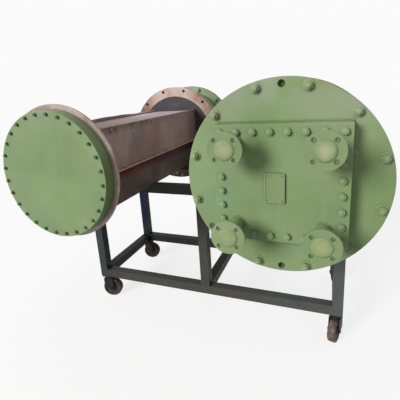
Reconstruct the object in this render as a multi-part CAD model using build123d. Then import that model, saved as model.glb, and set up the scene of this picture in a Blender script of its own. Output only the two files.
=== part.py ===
from build123d import *
import math
import os

# Two identical removable cooler bundles of a shell and tube heat exchanger, lying head to tail on a
# welded trolley with four swivel casters.
# Millimetres, +Z up. The origin is on the floor, midway between the two bundles: turned half a turn
# about +Z there, one bundle lands on the other. Each bundle is drawn along its own +Y, which runs
# from the floating head to the end disc, and is then set on the trolley.

# Bundle places. Each bundle's axis is this far above the top rails.
bundle_spacing = 1152.0
bundle_rise = 236.0

# Trolley frame of square tube. The rails run past the axes of the bundles at both ends.
rail_overhang = 332.5
frame_length = bundle_spacing + 2 * rail_overhang
frame_width = 751.0
frame_height = 804.0
tube_size = 63.5
tube_wall = 4.0
frame_shift_x = -41.0
frame_shift_y = 40.0

# Casters
wheel_diameter = 150.0
wheel_width = 48.0
hub_diameter = 52.0
hub_length = 54.0
tread_depth = 14.0
web_recess = 7.0
tread_edge_radius = 6.0
axle_diameter = 12.0
axle_head_diameter = 22.0
axle_head_height = 6.0
fork_thickness = 5.0
fork_hub_gap = 2.0
fork_top_width = 70.0
fork_eye_diameter = 36.0
fork_heel_diameter = 40.0
fork_heel_set = 14.0
fork_heel_rise = 12.0
fork_trail = 25.0
crown_gap = 8.0
race_diameter = 66.0
race_height = 13.0
race_gap = 0.5
boss_diameter = 60.0
boss_height = 8.0
kingpin_diameter = 14.0
running_clearance = 0.08
plate_length = 78.0
plate_width = 85.0
plate_thickness = 6.0
plate_corner = 8.0
front_left_turn = 15.0
front_right_turn = -106.0
rear_left_turn = 14.0
rear_right_turn = 96.0

# Header drum and its flanges
flange_diameter = 832.0
bolt_edge_distance = 26.0
flange_bolt_circle = flange_diameter - 2 * bolt_edge_distance
flange_bolt_count = 12
flange_hole_diameter = 26.0
disc_thickness = 30.0
channel_flange_thickness = 26.0
ring_thickness = 26.0
header_length = 426.0
nut_clearance = 38.0
barrel_wall = 17.5
barrel_diameter = flange_bolt_circle - 2 * nut_clearance
ring_bore = barrel_diameter - 2 * barrel_wall
disc_edge_chamfer = 2.0
jacking_hole_diameter = 22.0
jacking_hole_depth = 20.0
disc_face_y = 936.0

# Tube sheet
tubesheet_recess = 4.0
tubesheet_thickness = 50.0

# Square water box on the end disc, inside the ring of bolts
box_side_margin = 127.5
box_top_margin = 146.5
box_width = flange_bolt_circle - 2 * box_side_margin
box_height = flange_bolt_circle - 2 * box_top_margin
box_depth = 49.0
box_wall = 40.0
box_edge_radius = 4.0
cover_thickness = 26.0
cover_edge_chamfer = 2.0

# Four flanged nozzles through the box cover
nozzle_edge_distance = 92.2
nozzle_spacing = box_width - 2 * nozzle_edge_distance
nozzle_projection = 159.5
nozzle_flange_diameter = 135.0
nozzle_flange_thickness = 16.0
nozzle_bolt_circle = 101.0
nozzle_hole_diameter = 19.0
nozzle_hole_count = 4
raised_face_diameter = 76.0
raised_face_height = 2.0
neck_diameter = 54.0
nozzle_bore = 42.0
neck_fillet = 5.0

# Casing round the tubes, which passes through the bore of the ring
casing_side_gap = 139.5
casing_width = ring_bore - 2 * casing_side_gap
casing_top = 216.0
casing_sheet = 4.0
casing_upstand = 12.0
lip_drop = 34.0
lip_sheet = 3.0
seam_drop = 50.0
seam_flange_width = 20.0
seam_flange_thickness = 6.0
seam_gasket = 8.0
gasket_setback = 7.0

# Blanks that close the nozzles for transport
blank_diameter = 58.0
blank_thickness = 5.0
blank_edge_radius = 4.0
blank_plug_length = 12.0

# Floating head
head_flange_lip = 9.0
head_flange_diameter = barrel_diameter + 2 * head_flange_lip
head_flange_thickness = 16.0
head_cover_step = 25.5
head_cover_diameter = head_flange_diameter - 2 * head_cover_step
head_cover_thickness = 67.0
head_edge_chamfer = 1.5
head_length = 1846.0

# Places worked out from the sizes above
axle_z = wheel_diameter / 2
crown_z = wheel_diameter + crown_gap
boss_z = crown_z + fork_thickness + race_height + race_gap
rail_z = boss_z + boss_height + plate_thickness
frame_top_z = rail_z + frame_height
axis_z = frame_top_z + bundle_rise
frame_x0 = frame_shift_x - frame_length / 2
frame_x1 = frame_shift_x + frame_length / 2
frame_y0 = frame_shift_y - frame_width / 2
frame_y1 = frame_shift_y + frame_width / 2
disc_back_y = disc_face_y - disc_thickness
nozzle_face_y = disc_face_y + box_depth + cover_thickness + nozzle_projection
channel_flange_y = disc_back_y - channel_flange_thickness
ring_face_y = disc_face_y - header_length
tubesheet_face_y = ring_face_y + tubesheet_recess
head_back_y = disc_back_y - head_length
casing_length = tubesheet_face_y - head_back_y
seam_z = -seam_drop

Y_OUT = Plane(origin=(0, 0, 0), x_dir=(-1, 0, 0), z_dir=(0, 1, 0))
parts = {}


def ring_places(diameter, count, start_angle):
    """Points on a circle in the X-Z plane, with the start angle counted from straight up."""
    spots = []
    for step in range(count):
        angle = math.radians(start_angle + step * 360.0 / count)
        spots.append((diameter / 2 * math.sin(angle), diameter / 2 * math.cos(angle)))
    return spots


def y_cylinder(diameter, y_start, length, x=0.0, z=0.0):
    """A round bar along +Y that starts at y_start."""
    sketch = Plane(origin=(x, y_start, z), x_dir=(-1, 0, 0), z_dir=(0, 1, 0)) * Circle(diameter / 2)
    return extrude(sketch, length)


def box_between(x0, x1, y0, y1, z0, z1):
    """A plain block between two corners."""
    middle = ((x0 + x1) / 2, (y0 + y1) / 2, (z0 + z1) / 2)
    return Pos(*middle) * Box(x1 - x0, y1 - y0, z1 - z0)


def drill(body, spots, diameter, y_start, length):
    """Cut round holes along +Y at points in the X-Z plane."""
    for x, z in spots:
        body -= y_cylinder(diameter, y_start, length, x, z)
    return body


def square_tube(x0, x1, y0, y1, z0, z1, open_along=""):
    """A hollow square tube between two corners. It is capped unless it is open along one axis."""
    outer = box_between(x0, x1, y0, y1, z0, z1)
    dx, dy, dz = (0.0 if axis == open_along else tube_wall for axis in "xyz")
    inner = box_between(x0 + dx, x1 - dx, y0 + dy, y1 - dy, z0 + dz, z1 - dz)
    return outer - inner


def legs(y0):
    """Three upright tubes in a row, at the two ends and the middle of the trolley."""
    z0 = rail_z + tube_size
    z1 = frame_top_z - tube_size
    starts = (frame_x0, frame_shift_x - tube_size / 2, frame_x1 - tube_size)
    return [square_tube(x, x + tube_size, y0, y0 + tube_size, z0, z1, "z") for x in starts]


def long_rail(y0, z0):
    """A rail over the whole length of the trolley."""
    return square_tube(frame_x0, frame_x1, y0, y0 + tube_size, z0, z0 + tube_size)


def cross_rail(x0, z0):
    """A rail that joins the front rail to the rear rail."""
    y0 = frame_y0 + tube_size
    y1 = frame_y1 - tube_size
    return square_tube(x0, x0 + tube_size, y0, y1, z0, z0 + tube_size, "y")


def make_trolley():
    """The welded frame: two long rails and three cross rails below, and the same ends on top."""
    rear_y = frame_y1 - tube_size
    top_z = frame_top_z - tube_size
    parts["front_legs"] = Compound(legs(frame_y0))
    parts["rear_legs"] = Compound(legs(rear_y))
    parts["front_bottom_rail"] = long_rail(frame_y0, rail_z)
    parts["rear_bottom_rail"] = long_rail(rear_y, rail_z)
    parts["front_top_rail"] = long_rail(frame_y0, top_z)
    parts["rear_top_rail"] = long_rail(rear_y, top_z)
    starts = (frame_x0, frame_shift_x - tube_size / 2, frame_x1 - tube_size)
    parts["bottom_cross_rails"] = Compound([cross_rail(x, rail_z) for x in starts])
    parts["top_cross_rails"] = Compound([cross_rail(x, top_z) for x in (starts[0], starts[2])])


def caster_places():
    """Name, swivel axis and turn of each caster. The plates sit flush with the frame's corners."""
    left = frame_x0 + plate_length / 2
    right = frame_x1 - plate_length / 2
    front = frame_y0 + plate_width / 2
    rear = frame_y1 - plate_width / 2
    return [
        ("front_left", left, front, front_left_turn),
        ("front_right", right, front, front_right_turn),
        ("rear_left", left, rear, rear_left_turn),
        ("rear_right", right, rear, rear_right_turn),
    ]


def caster_plate():
    """Top plate with its fixed race and the kingpin that the fork turns on. Swivel axis at x = y = 0."""
    plate = Pos(0, 0, rail_z - plate_thickness / 2) * Box(plate_length, plate_width, plate_thickness)
    plate = fillet(plate.edges().filter_by(Axis.Z), plate_corner)
    boss = Pos(0, 0, boss_z + boss_height / 2) * Cylinder(boss_diameter / 2, boss_height)
    pin_bottom = crown_z
    pin_length = rail_z - plate_thickness - pin_bottom
    pin = Pos(0, 0, pin_bottom + pin_length / 2) * Cylinder(kingpin_diameter / 2, pin_length)
    return plate + boss + pin


def fork_cheek(side):
    """One side plate of the fork, drawn from the crown down to the heel and the round eye at the axle."""
    inner = hub_length / 2 + fork_hub_gap
    y0 = inner if side > 0 else -inner - fork_thickness
    eye = Pos(fork_trail, axle_z) * Circle(fork_eye_diameter / 2)
    heel = Pos(-fork_heel_set, axle_z + fork_heel_rise) * Circle(fork_heel_diameter / 2)
    top = Pos(0, crown_z + fork_thickness / 2) * Rectangle(fork_top_width, fork_thickness)
    profile = Plane.XZ * make_hull(eye.edges() + heel.edges() + top.edges())
    return Pos(0, y0 + fork_thickness, 0) * extrude(profile, fork_thickness)


def caster_fork():
    """Crown, lower race, two cheeks and the axle, trailing towards +X."""
    width = hub_length + 2 * fork_hub_gap + 2 * fork_thickness
    crown = Pos(0, 0, crown_z + fork_thickness / 2) * Box(fork_top_width, width, fork_thickness)
    race_z = crown_z + fork_thickness
    race = Pos(0, 0, race_z + race_height / 2) * Cylinder(race_diameter / 2, race_height)
    body = crown + race + fork_cheek(1) + fork_cheek(-1)
    reach = width / 2
    axle_length = 2 * reach + 2 * axle_head_height
    body += y_cylinder(axle_diameter, -axle_length / 2, axle_length, fork_trail, axle_z)
    for y0 in (-reach - axle_head_height, reach):
        head = Plane(origin=(fork_trail, y0, axle_z), x_dir=(-1, 0, 0), z_dir=(0, 1, 0)) * RegularPolygon(
            axle_head_diameter / 2, 6
        )
        body += extrude(head, axle_head_height)
    hole_radius = kingpin_diameter / 2 + running_clearance
    body -= Pos(0, 0, crown_z + fork_thickness + race_height / 2) * Cylinder(hole_radius, 4 * race_height)
    return body


def caster_wheel():
    """Wheel turned from one profile: crowned tread, dished webs and a proud hub, bored for the axle."""
    outer = wheel_diameter / 2
    bore = axle_diameter / 2 + running_clearance
    half = wheel_width / 2
    web = half - web_recess
    rim = outer - tread_depth
    hub = hub_diameter / 2
    points = [
        (bore, 0), (outer, 0), (outer, half - tread_edge_radius), (outer - tread_edge_radius, half),
        (rim, half), (rim - web_recess, web), (hub, web), (hub, hub_length / 2), (bore, hub_length / 2),
    ]
    upper = make_face(Polyline(*points, close=True))
    profile = upper + mirror(upper, about=Plane.XZ)
    wheel = revolve(profile, Axis.Y)
    return Pos(fork_trail, 0, axle_z) * wheel


def make_casters():
    """Four casters, each turned about its own swivel axis."""
    plates = []
    for name, x, y, turn in caster_places():
        plates.append(Pos(x, y, 0) * caster_plate())
        place = Pos(x, y, 0) * Rot(0, 0, turn)
        parts["fork_" + name] = place * caster_fork()
        parts["wheel_" + name] = place * caster_wheel()
    parts["caster_plates"] = Compound(plates)


def end_disc():
    """Large blank disc that closes the header, with a ring of bolt holes and two jacking holes."""
    body = y_cylinder(flange_diameter, disc_back_y, disc_thickness)
    rim = body.edges().filter_by(GeomType.CIRCLE).group_by(Axis.Y)[-1]
    body = chamfer(rim, disc_edge_chamfer)
    half_pitch = 180.0 / flange_bolt_count
    spots = ring_places(flange_bolt_circle, flange_bolt_count, half_pitch)
    body = drill(body, spots, flange_hole_diameter, disc_back_y, disc_thickness)
    jacks = ring_places(flange_bolt_circle, 2, 0.0)
    return drill(body, jacks, jacking_hole_diameter, disc_face_y - jacking_hole_depth, jacking_hole_depth)


def drum_flange(y_start, thickness):
    """Flat ring with the drum's circle of bolt holes."""
    body = y_cylinder(flange_diameter, y_start, thickness)
    body -= y_cylinder(ring_bore, y_start, thickness)
    half_pitch = 180.0 / flange_bolt_count
    spots = ring_places(flange_bolt_circle, flange_bolt_count, half_pitch)
    return drill(body, spots, flange_hole_diameter, y_start, thickness)


def drum_barrel():
    """Rolled barrel between the ring flange and the channel flange."""
    y0 = ring_face_y + ring_thickness
    length = channel_flange_y - y0
    return y_cylinder(barrel_diameter, y0, length) - y_cylinder(ring_bore, y0, length)


def tubesheet():
    """Round plate that fills the bore of the ring flange, just behind its machined face."""
    return y_cylinder(ring_bore, tubesheet_face_y, tubesheet_thickness)


def water_box():
    """Four thick walls of the square chamber on the end disc."""
    outline = Y_OUT * RectangleRounded(box_width, box_height, box_edge_radius)
    opening = Y_OUT * Rectangle(box_width - 2 * box_wall, box_height - 2 * box_wall)
    return Pos(0, disc_face_y, 0) * extrude(outline - opening, box_depth)


def nozzle_spots():
    """Centres of the four nozzles in the X-Z plane."""
    half = nozzle_spacing / 2
    return [(sx * half, sz * half) for sx in (-1, 1) for sz in (-1, 1)]


def box_cover():
    """Plate that closes the water box, with the necks of the nozzles set through it."""
    outline = Y_OUT * RectangleRounded(box_width, box_height, box_edge_radius)
    body = Pos(0, disc_face_y + box_depth, 0) * extrude(outline, cover_thickness)
    body = chamfer(body.faces().sort_by(Axis.Y)[-1].edges(), cover_edge_chamfer)
    return drill(body, nozzle_spots(), neck_diameter, disc_face_y + box_depth, cover_thickness)


def nozzle():
    """One pipe neck with a raised-face flange, from the inside of the cover outwards along +Y."""
    y0 = disc_face_y + box_depth
    face_y = nozzle_face_y
    back_y = face_y - raised_face_height - nozzle_flange_thickness
    neck = y_cylinder(neck_diameter, y0, back_y - y0)
    flange = y_cylinder(nozzle_flange_diameter, back_y, nozzle_flange_thickness)
    raised = y_cylinder(raised_face_diameter, face_y - raised_face_height, raised_face_height)
    body = neck + flange + raised
    neck_edges = body.edges().filter_by(GeomType.CIRCLE).group_by(SortBy.RADIUS)[0]
    body = fillet(neck_edges.sort_by(Axis.Y)[-1], neck_fillet)
    body -= y_cylinder(nozzle_bore, y0, face_y - y0)
    half_pitch = 180.0 / nozzle_hole_count
    holes = ring_places(nozzle_bolt_circle, nozzle_hole_count, half_pitch)
    return drill(body, holes, nozzle_hole_diameter, back_y, nozzle_flange_thickness)


def nozzles():
    """The four nozzles as separate solids."""
    return Compound([Pos(x, 0, z) * nozzle() for x, z in nozzle_spots()])


def nozzle_blanks():
    """Lids with a rounded edge on the raised faces, each with a short plug in the bore."""
    lid = y_cylinder(blank_diameter, nozzle_face_y, blank_thickness)
    lid = fillet(lid.edges().filter_by(GeomType.CIRCLE).group_by(Axis.Y)[-1], blank_edge_radius)
    blank = lid + y_cylinder(nozzle_bore, nozzle_face_y - blank_plug_length, blank_plug_length)
    return [Pos(x, 0, z) * blank for x, z in nozzle_spots()]


def casing_section(points):
    """Extend a closed outline in the X-Z plane over the length of the casing."""
    face = make_face(Plane.XZ * Polyline(*points, close=True))
    return Pos(0, tubesheet_face_y, 0) * extrude(face, amount=casing_length, dir=(0, -1, 0))


def casing_top_plate():
    """Top cover of folded sheet, with an edge turned down over each side."""
    half = casing_width / 2
    inner = half - casing_sheet
    top = casing_top - casing_upstand
    edge = half + lip_sheet
    upstand = inner - lip_sheet
    foot = casing_top - lip_drop
    under = casing_top - lip_sheet
    right = [
        (inner, top), (inner, under), (half, under), (half, foot),
        (edge, foot), (edge, casing_top), (upstand, casing_top), (upstand, top + lip_sheet),
    ]
    left = [(-x, z) for x, z in reversed(right)]
    return casing_section(right + left)


def casing_side(side):
    """One upper side sheet, turned out at its foot to make the seam flange."""
    outer = casing_width / 2
    inner = outer - casing_sheet
    foot = seam_z + seam_gasket / 2
    top = casing_top - lip_sheet
    edge = outer + seam_flange_width
    points = [
        (inner, top), (outer, top), (outer, foot + seam_flange_thickness),
        (edge, foot + seam_flange_thickness), (edge, foot), (inner, foot),
    ]
    return casing_section([(side * x, z) for x, z in points])


def casing_tray():
    """Lower tray of the casing: floor, two sides and the turned-out seam flanges."""
    outer = casing_width / 2
    inner = outer - casing_sheet
    floor_z = -bundle_rise
    head = seam_z - seam_gasket / 2
    edge = outer + seam_flange_width
    points = [
        (-edge, head), (-edge, head - seam_flange_thickness), (-outer, head - seam_flange_thickness),
        (-outer, floor_z), (outer, floor_z), (outer, head - seam_flange_thickness),
        (edge, head - seam_flange_thickness), (edge, head), (inner, head),
        (inner, floor_z + casing_sheet), (-inner, floor_z + casing_sheet), (-inner, head),
    ]
    return casing_section(points)


def seam_gaskets():
    """Red gasket strips between the seam flanges of the sides and the tray."""
    outer = casing_width / 2 + seam_flange_width - gasket_setback
    inner = casing_width / 2 - casing_sheet
    z0 = seam_z - seam_gasket / 2
    strips = []
    for x0, x1 in ((-outer, -inner), (inner, outer)):
        strips.append(box_between(x0, x1, head_back_y, tubesheet_face_y, z0, z0 + seam_gasket))
    return strips


def head_flange():
    """Bare steel flange at the floating end of the tubes."""
    body = y_cylinder(head_flange_diameter, head_back_y - head_flange_thickness, head_flange_thickness)
    return chamfer(body.edges().filter_by(GeomType.CIRCLE), head_edge_chamfer)


def head_cover():
    """Round cover of the floating head."""
    y0 = head_back_y - head_flange_thickness - head_cover_thickness
    body = y_cylinder(head_cover_diameter, y0, head_cover_thickness)
    rim = body.edges().filter_by(GeomType.CIRCLE).group_by(Axis.Y)[0]
    return chamfer(rim, head_edge_chamfer)


def make_bundle(name, place):
    """All the pieces of one bundle, set on the trolley by a place."""
    pieces = {
        "end_disc": end_disc(),
        "ring_flange": drum_flange(ring_face_y, ring_thickness),
        "header_drum": drum_barrel(),
        "channel_flange": drum_flange(channel_flange_y, channel_flange_thickness),
        "tubesheet": tubesheet(),
        "water_box": water_box(),
        "box_cover": box_cover(),
        "nozzles": nozzles(),
        "casing_top": casing_top_plate(),
        "casing_sides": Compound([casing_side(-1), casing_side(1)]),
        "casing_tray": casing_tray(),
        "head_flange": head_flange(),
        "head_cover": head_cover(),
    }
    for piece, shape in pieces.items():
        parts[name + "_" + piece] = place * shape


bundle_places = {
    "left": Pos(-bundle_spacing / 2, 0, axis_z),
    "right": Pos(bundle_spacing / 2, 0, axis_z) * Rot(0, 0, 180),
}
make_trolley()
make_casters()
for side_name, bundle_place in bundle_places.items():
    make_bundle(side_name, bundle_place)
places = bundle_places.values()
parts["seam_gaskets"] = Compound([place * strip for place in places for strip in seam_gaskets()])
parts["nozzle_blanks"] = Compound([place * blank for place in places for blank in nozzle_blanks()])

os.makedirs("parts", exist_ok=True)
for node, solid in parts.items():
    export_step(solid, "parts/" + node + ".step")
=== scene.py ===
import math
import random
import bpy
from mathutils import Matrix, Vector


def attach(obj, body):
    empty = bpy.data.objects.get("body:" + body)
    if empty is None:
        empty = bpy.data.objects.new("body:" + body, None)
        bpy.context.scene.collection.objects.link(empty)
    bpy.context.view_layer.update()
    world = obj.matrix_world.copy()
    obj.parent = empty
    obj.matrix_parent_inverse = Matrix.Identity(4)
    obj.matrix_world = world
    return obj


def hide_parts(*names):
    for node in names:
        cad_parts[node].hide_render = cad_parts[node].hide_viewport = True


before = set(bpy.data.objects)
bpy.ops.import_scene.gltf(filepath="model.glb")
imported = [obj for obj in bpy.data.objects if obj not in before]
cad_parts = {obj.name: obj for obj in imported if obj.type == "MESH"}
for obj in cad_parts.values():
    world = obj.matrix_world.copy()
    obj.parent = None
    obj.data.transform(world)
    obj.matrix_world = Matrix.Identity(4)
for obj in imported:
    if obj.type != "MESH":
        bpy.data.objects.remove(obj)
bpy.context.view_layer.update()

random.seed(7)

# Sizes in metres. A bundle's own directions run from its axis: +Y towards the end disc, +Z up.
AXIS_Z = 1.2305
HALF_SPACING = 0.576
DISC_FACE = 0.936
DISC_BACK = 0.906
CHANNEL_FLANGE_BACK = 0.880
RING_FACE = 0.510
RING_BACK = 0.536
FLANGE_RADIUS = 0.416
BARREL_RADIUS = 0.352
FLANGE_BOLT_RADIUS = 0.390
FLANGE_BOLTS = 12
BOX_WIDTH = 0.525
BOX_HEIGHT = 0.487
COVER_FACE = 1.011
BOLTS_PER_SIDE = 8
BOLT_SPAN_X = 0.465
BOLT_SPAN_Z = 0.427
HEAD_FACE = -1.023
HEAD_JOINT = -0.956
HEAD_FLANGE_BACK = -0.940
HEAD_RADIUS = 0.3355
HEAD_BOLTS = 28
HEAD_BOLT_RADIUS = 0.3173
NOZZLE_OFFSET = 0.1703
NOZZLE_FACE = 1.1705
NECK_RADIUS = 0.027
LID_RADIUS = 0.0375
LID_HEIGHT = 0.0048
# Radii of the dark plugs that paint the shade inside open bolt holes
NOZZLE_HOLE_CIRCLE = 0.0505
NOZZLE_SHADE_PLUG_RADIUS = 0.0094
RING_SHADE_PLUG_RADIUS = 0.0129
JACKING_RIM_RADIUS = 0.0132
JACKING_PLUG_RADIUS = 0.0135
JACKING_PLUG_ANGLE = math.radians(234)
CASING_HALF = 0.195
CASING_TOP = 0.216
LIP_SHEET = 0.003
LIP_STRIP = 0.012
LIP_END_GAP = 0.01
LIP_SCREWS = (-0.751, -0.690, -0.283, 0.060, 0.360)
SEAM_EDGE = 0.215
SEAM_TOP = -0.040
SEAM_BOTTOM = -0.060
SEAM_SCREWS = 8
SEAM_SCREW_START = -0.84
SEAM_SCREW_PITCH = 0.183
SCREW_INSET = 0.009
CASING_END = 0.514
DRAIN_SPOT = (-BOX_WIDTH / 2, 0.966, 0.125)
TUBE = 0.0635
RAIL_Z = 0.1905
FRAME_TOP = 0.9945
FRAME_X = (-0.9495, 0.8675)
FRAME_Y = (-0.3355, 0.4155)
MIDDLE_X = -0.041
CASTER_INSET = (0.039, 0.0425)
CASTER_PLATE = 0.006
CASTER_BOLTS = (0.0285, 0.032)

# Bare name plate of the right bundle, in that bundle's directions
PLATE_X = 0.0155
PLATE_Z = -0.0105
PLATE_WIDTH = 0.081
PLATE_HEIGHT = 0.122
PLATE_DEPTH = 0.011
PLATE_SINK = 0.0022
RIVET_INSET = 0.010

# Weld beads: radius of a drop, how far its middle stands off a face, and the pitch of the drops. The drum's
# drops are larger, and a bead of the frame stops short of the tube's edges.
WELD_DROP = 0.0045
WELD_OFF = 0.001
BOX_WELD_PITCH = 0.006
DRUM_WELD_PITCH = 0.0095
DRUM_WELD_SCALE = 1.5
FRAME_WELD_PITCH = 0.007
FRAME_WELD_INSET = 0.004

# Marks on the left bundle's casing, on the side that faces right
MARKED_SIDE = CASING_HALF - HALF_SPACING
SCRATCH_CENTRE = (MARKED_SIDE, -0.575, 1.345)
SCRATCH_RADIUS = 0.056
SCRATCH_START = -0.545
# Dark oily marks: place along the casing, height and reach
OILY_MARKS = (
    (-0.756, 1.430, 0.034),
    (-0.695, 1.431, 0.030),
    (-0.535, 1.436, 0.040),
    (-0.410, 1.440, 0.024),
    (-0.345, 1.436, 0.034),
)

FACING_DISC = Matrix.Rotation(math.radians(-90), 4, "X")
FACING_HEAD = Matrix.Rotation(math.radians(90), 4, "X")
FACING_RIGHT = Matrix.Rotation(math.radians(90), 4, "Y")
FACING_LEFT = Matrix.Rotation(math.radians(-90), 4, "Y")
FACING_DOWN = Matrix.Rotation(math.radians(180), 4, "X")

# The green paint turns chalky between these heights, and faces that meet by less than this angle look smooth
CHALK_HEIGHTS = (1.42, 1.58)
SMOOTH_ANGLE = math.radians(32)

# Light, floor and camera. Right, down and forward are the camera's own directions.
LIGHT_TRAVEL = (0.53, 1.0, -0.44)
LIGHT_STRENGTH = 2.35
LIGHT_SPREAD = math.radians(22)
SKY_STRENGTH = 0.38
SEEN_SKY_STRENGTH = 0.956
FLOOR_SIZE = 80
FLOOR_TONE = (150, 150, 150)
SEEN_FLOOR_GLOW = 0.757
CAMERA_PLACE = Vector((0.7633, -2.2957, 1.6200))
CAMERA_RIGHT = Vector((0.93062, 0.36059, -0.06267))
CAMERA_DOWN = Vector((0.03484, -0.25774, -0.96559))
CAMERA_FORWARD = Vector((-0.36434, 0.89641, -0.25242))
CAMERA_SENSOR = 36.0
CAMERA_LENS = 30.08
CAMERA_SHIFT = (0.002, -0.060)


class Finish:
    """A material, with short ways to add the nodes that its pattern needs."""

    def __init__(self, name, roughness=0.5, metallic=0.0, specular=0.3):
        self.material = bpy.data.materials.new(name)
        self.material.use_nodes = True
        self.nodes = self.material.node_tree.nodes
        self.links = self.material.node_tree.links
        self.shader = self.nodes["Principled BSDF"]
        self.shader.inputs["Roughness"].default_value = roughness
        self.shader.inputs["Metallic"].default_value = metallic
        self.shader.inputs["Specular IOR Level"].default_value = specular
        self.place = self.nodes.new("ShaderNodeTexCoord").outputs["Object"]

    def noise(self, scale, detail=4.0, stretch=(1, 1, 1), shift=(0, 0, 0), twist=0.0):
        """Cloudy pattern from 0 to 1. Stretch above 1 makes it finer along that axis."""
        mapping = self.nodes.new("ShaderNodeMapping")
        mapping.inputs["Scale"].default_value = stretch
        mapping.inputs["Location"].default_value = shift
        self.links.new(self.place, mapping.inputs["Vector"])
        node = self.nodes.new("ShaderNodeTexNoise")
        node.inputs["Scale"].default_value = scale
        node.inputs["Detail"].default_value = detail
        node.inputs["Distortion"].default_value = twist
        self.links.new(mapping.outputs["Vector"], node.inputs["Vector"])
        return node.outputs["Fac"]

    def axis(self, letter):
        """The X, Y or Z of the surface point, in metres."""
        split = self.nodes.new("ShaderNodeSeparateXYZ")
        self.links.new(self.place, split.inputs[0])
        return split.outputs[letter]

    def facing(self, letter):
        """The X, Y or Z of the surface's normal."""
        split = self.nodes.new("ShaderNodeSeparateXYZ")
        self.links.new(self.nodes.new("ShaderNodeNewGeometry").outputs["Normal"], split.inputs[0])
        return split.outputs[letter]

    def corners(self, distance):
        """1 in the open and 0 deep in a corner."""
        node = self.nodes.new("ShaderNodeAmbientOcclusion")
        node.samples = 6
        node.inputs["Distance"].default_value = distance
        return node.outputs["AO"]

    def edges(self, radius):
        """1 along edges and corners, 0 on open faces."""
        bevel = self.nodes.new("ShaderNodeBevel")
        bevel.samples = 4
        bevel.inputs["Radius"].default_value = radius
        dot = self.nodes.new("ShaderNodeVectorMath")
        dot.operation = "DOT_PRODUCT"
        self.links.new(bevel.outputs["Normal"], dot.inputs[0])
        self.links.new(self.nodes.new("ShaderNodeNewGeometry").outputs["Normal"], dot.inputs[1])
        return self.span(dot.outputs["Value"], 0.8, 0.98, 1.0, 0.0)

    def distance(self, point):
        """Distance from a point, in metres."""
        node = self.nodes.new("ShaderNodeVectorMath")
        node.operation = "DISTANCE"
        node.inputs[1].default_value = point
        self.links.new(self.place, node.inputs[0])
        return node.outputs["Value"]

    def attribute(self, name):
        """A number kept on the piece's own mesh."""
        node = self.nodes.new("ShaderNodeAttribute")
        node.attribute_name = name
        return node.outputs["Fac"]

    def ramp(self, factor, stops):
        """Colour stops along a number: (place, (red, green, blue)) with screen colours."""
        node = self.nodes.new("ShaderNodeValToRGB")
        points = node.color_ramp.elements
        while len(points) < len(stops):
            points.new(0.5)
        for point, (place, colour) in zip(points, stops):
            point.position = place
            point.color = (*screen(colour), 1.0)
        self.links.new(factor, node.inputs["Fac"])
        return node.outputs["Color"]

    def span(self, value, low, high, out_low=0.0, out_high=1.0):
        """Stretch a number from one range to another, held at the ends."""
        node = self.nodes.new("ShaderNodeMapRange")
        numbers = {"From Min": low, "From Max": high, "To Min": out_low, "To Max": out_high}
        for name, number in numbers.items():
            node.inputs[name].default_value = number
        self.links.new(value, node.inputs["Value"])
        return node.outputs["Result"]

    def maths(self, operation, first, second):
        """One sum on two numbers, either of which may be plain."""
        node = self.nodes.new("ShaderNodeMath")
        node.operation = operation
        for socket, value in zip(node.inputs, (first, second)):
            if isinstance(value, float):
                socket.default_value = value
            else:
                self.links.new(value, socket)
        return node.outputs[0]

    def mix(self, factor, first, second):
        """Blend two colours, each an output or a screen colour, by the node's colour sockets 6 and 7."""
        node = self.nodes.new("ShaderNodeMix")
        node.data_type = "RGBA"
        sockets = {0: factor, 6: first, 7: second}
        for number, value in sockets.items():
            if isinstance(value, tuple):
                node.inputs[number].default_value = (*screen(value), 1.0)
            elif isinstance(value, float):
                node.inputs[number].default_value = value
            else:
                self.links.new(value, node.inputs[number])
        return node.outputs[2]

    def lay(self, tone, colour, where, low, high, share):
        """Lay a colour over a tone where a number rises from low to high, up to a share."""
        return self.mix(self.span(where, low, high, 0.0, share), tone, colour)

    def shade_and_dirt_in_corners(self, tone, colour, reach, share, deep=0.2, open_level=0.8):
        """Lay one colour in corners, within a reach in metres, as dirt and as painted shade."""
        depth = self.span(self.corners(reach), deep, open_level, 1.0, 0.0)
        return self.mix(self.maths("MULTIPLY", depth, share), tone, colour)

    def colour(self, output):
        self.links.new(output, self.shader.inputs["Base Color"])

    def gloss(self, output):
        self.links.new(output, self.shader.inputs["Roughness"])

    def relief(self, height, strength, distance, edge=0.0):
        """Bump from a height, over edges that are softened by a radius."""
        node = self.nodes.new("ShaderNodeBump")
        node.inputs["Strength"].default_value = strength
        node.inputs["Distance"].default_value = distance
        self.links.new(height, node.inputs["Height"])
        if edge:
            bevel = self.nodes.new("ShaderNodeBevel")
            bevel.samples = 4
            bevel.inputs["Radius"].default_value = edge
            self.links.new(bevel.outputs["Normal"], node.inputs["Normal"])
        self.links.new(node.outputs["Normal"], self.shader.inputs["Normal"])


def screen(colour):
    """A screen colour, 0 to 255, as the linear colour that a shader takes."""
    values = [number / 255 for number in colour]
    return tuple(v / 12.92 if v <= 0.04045 else ((v + 0.055) / 1.055) ** 2.4 for v in values)


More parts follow.
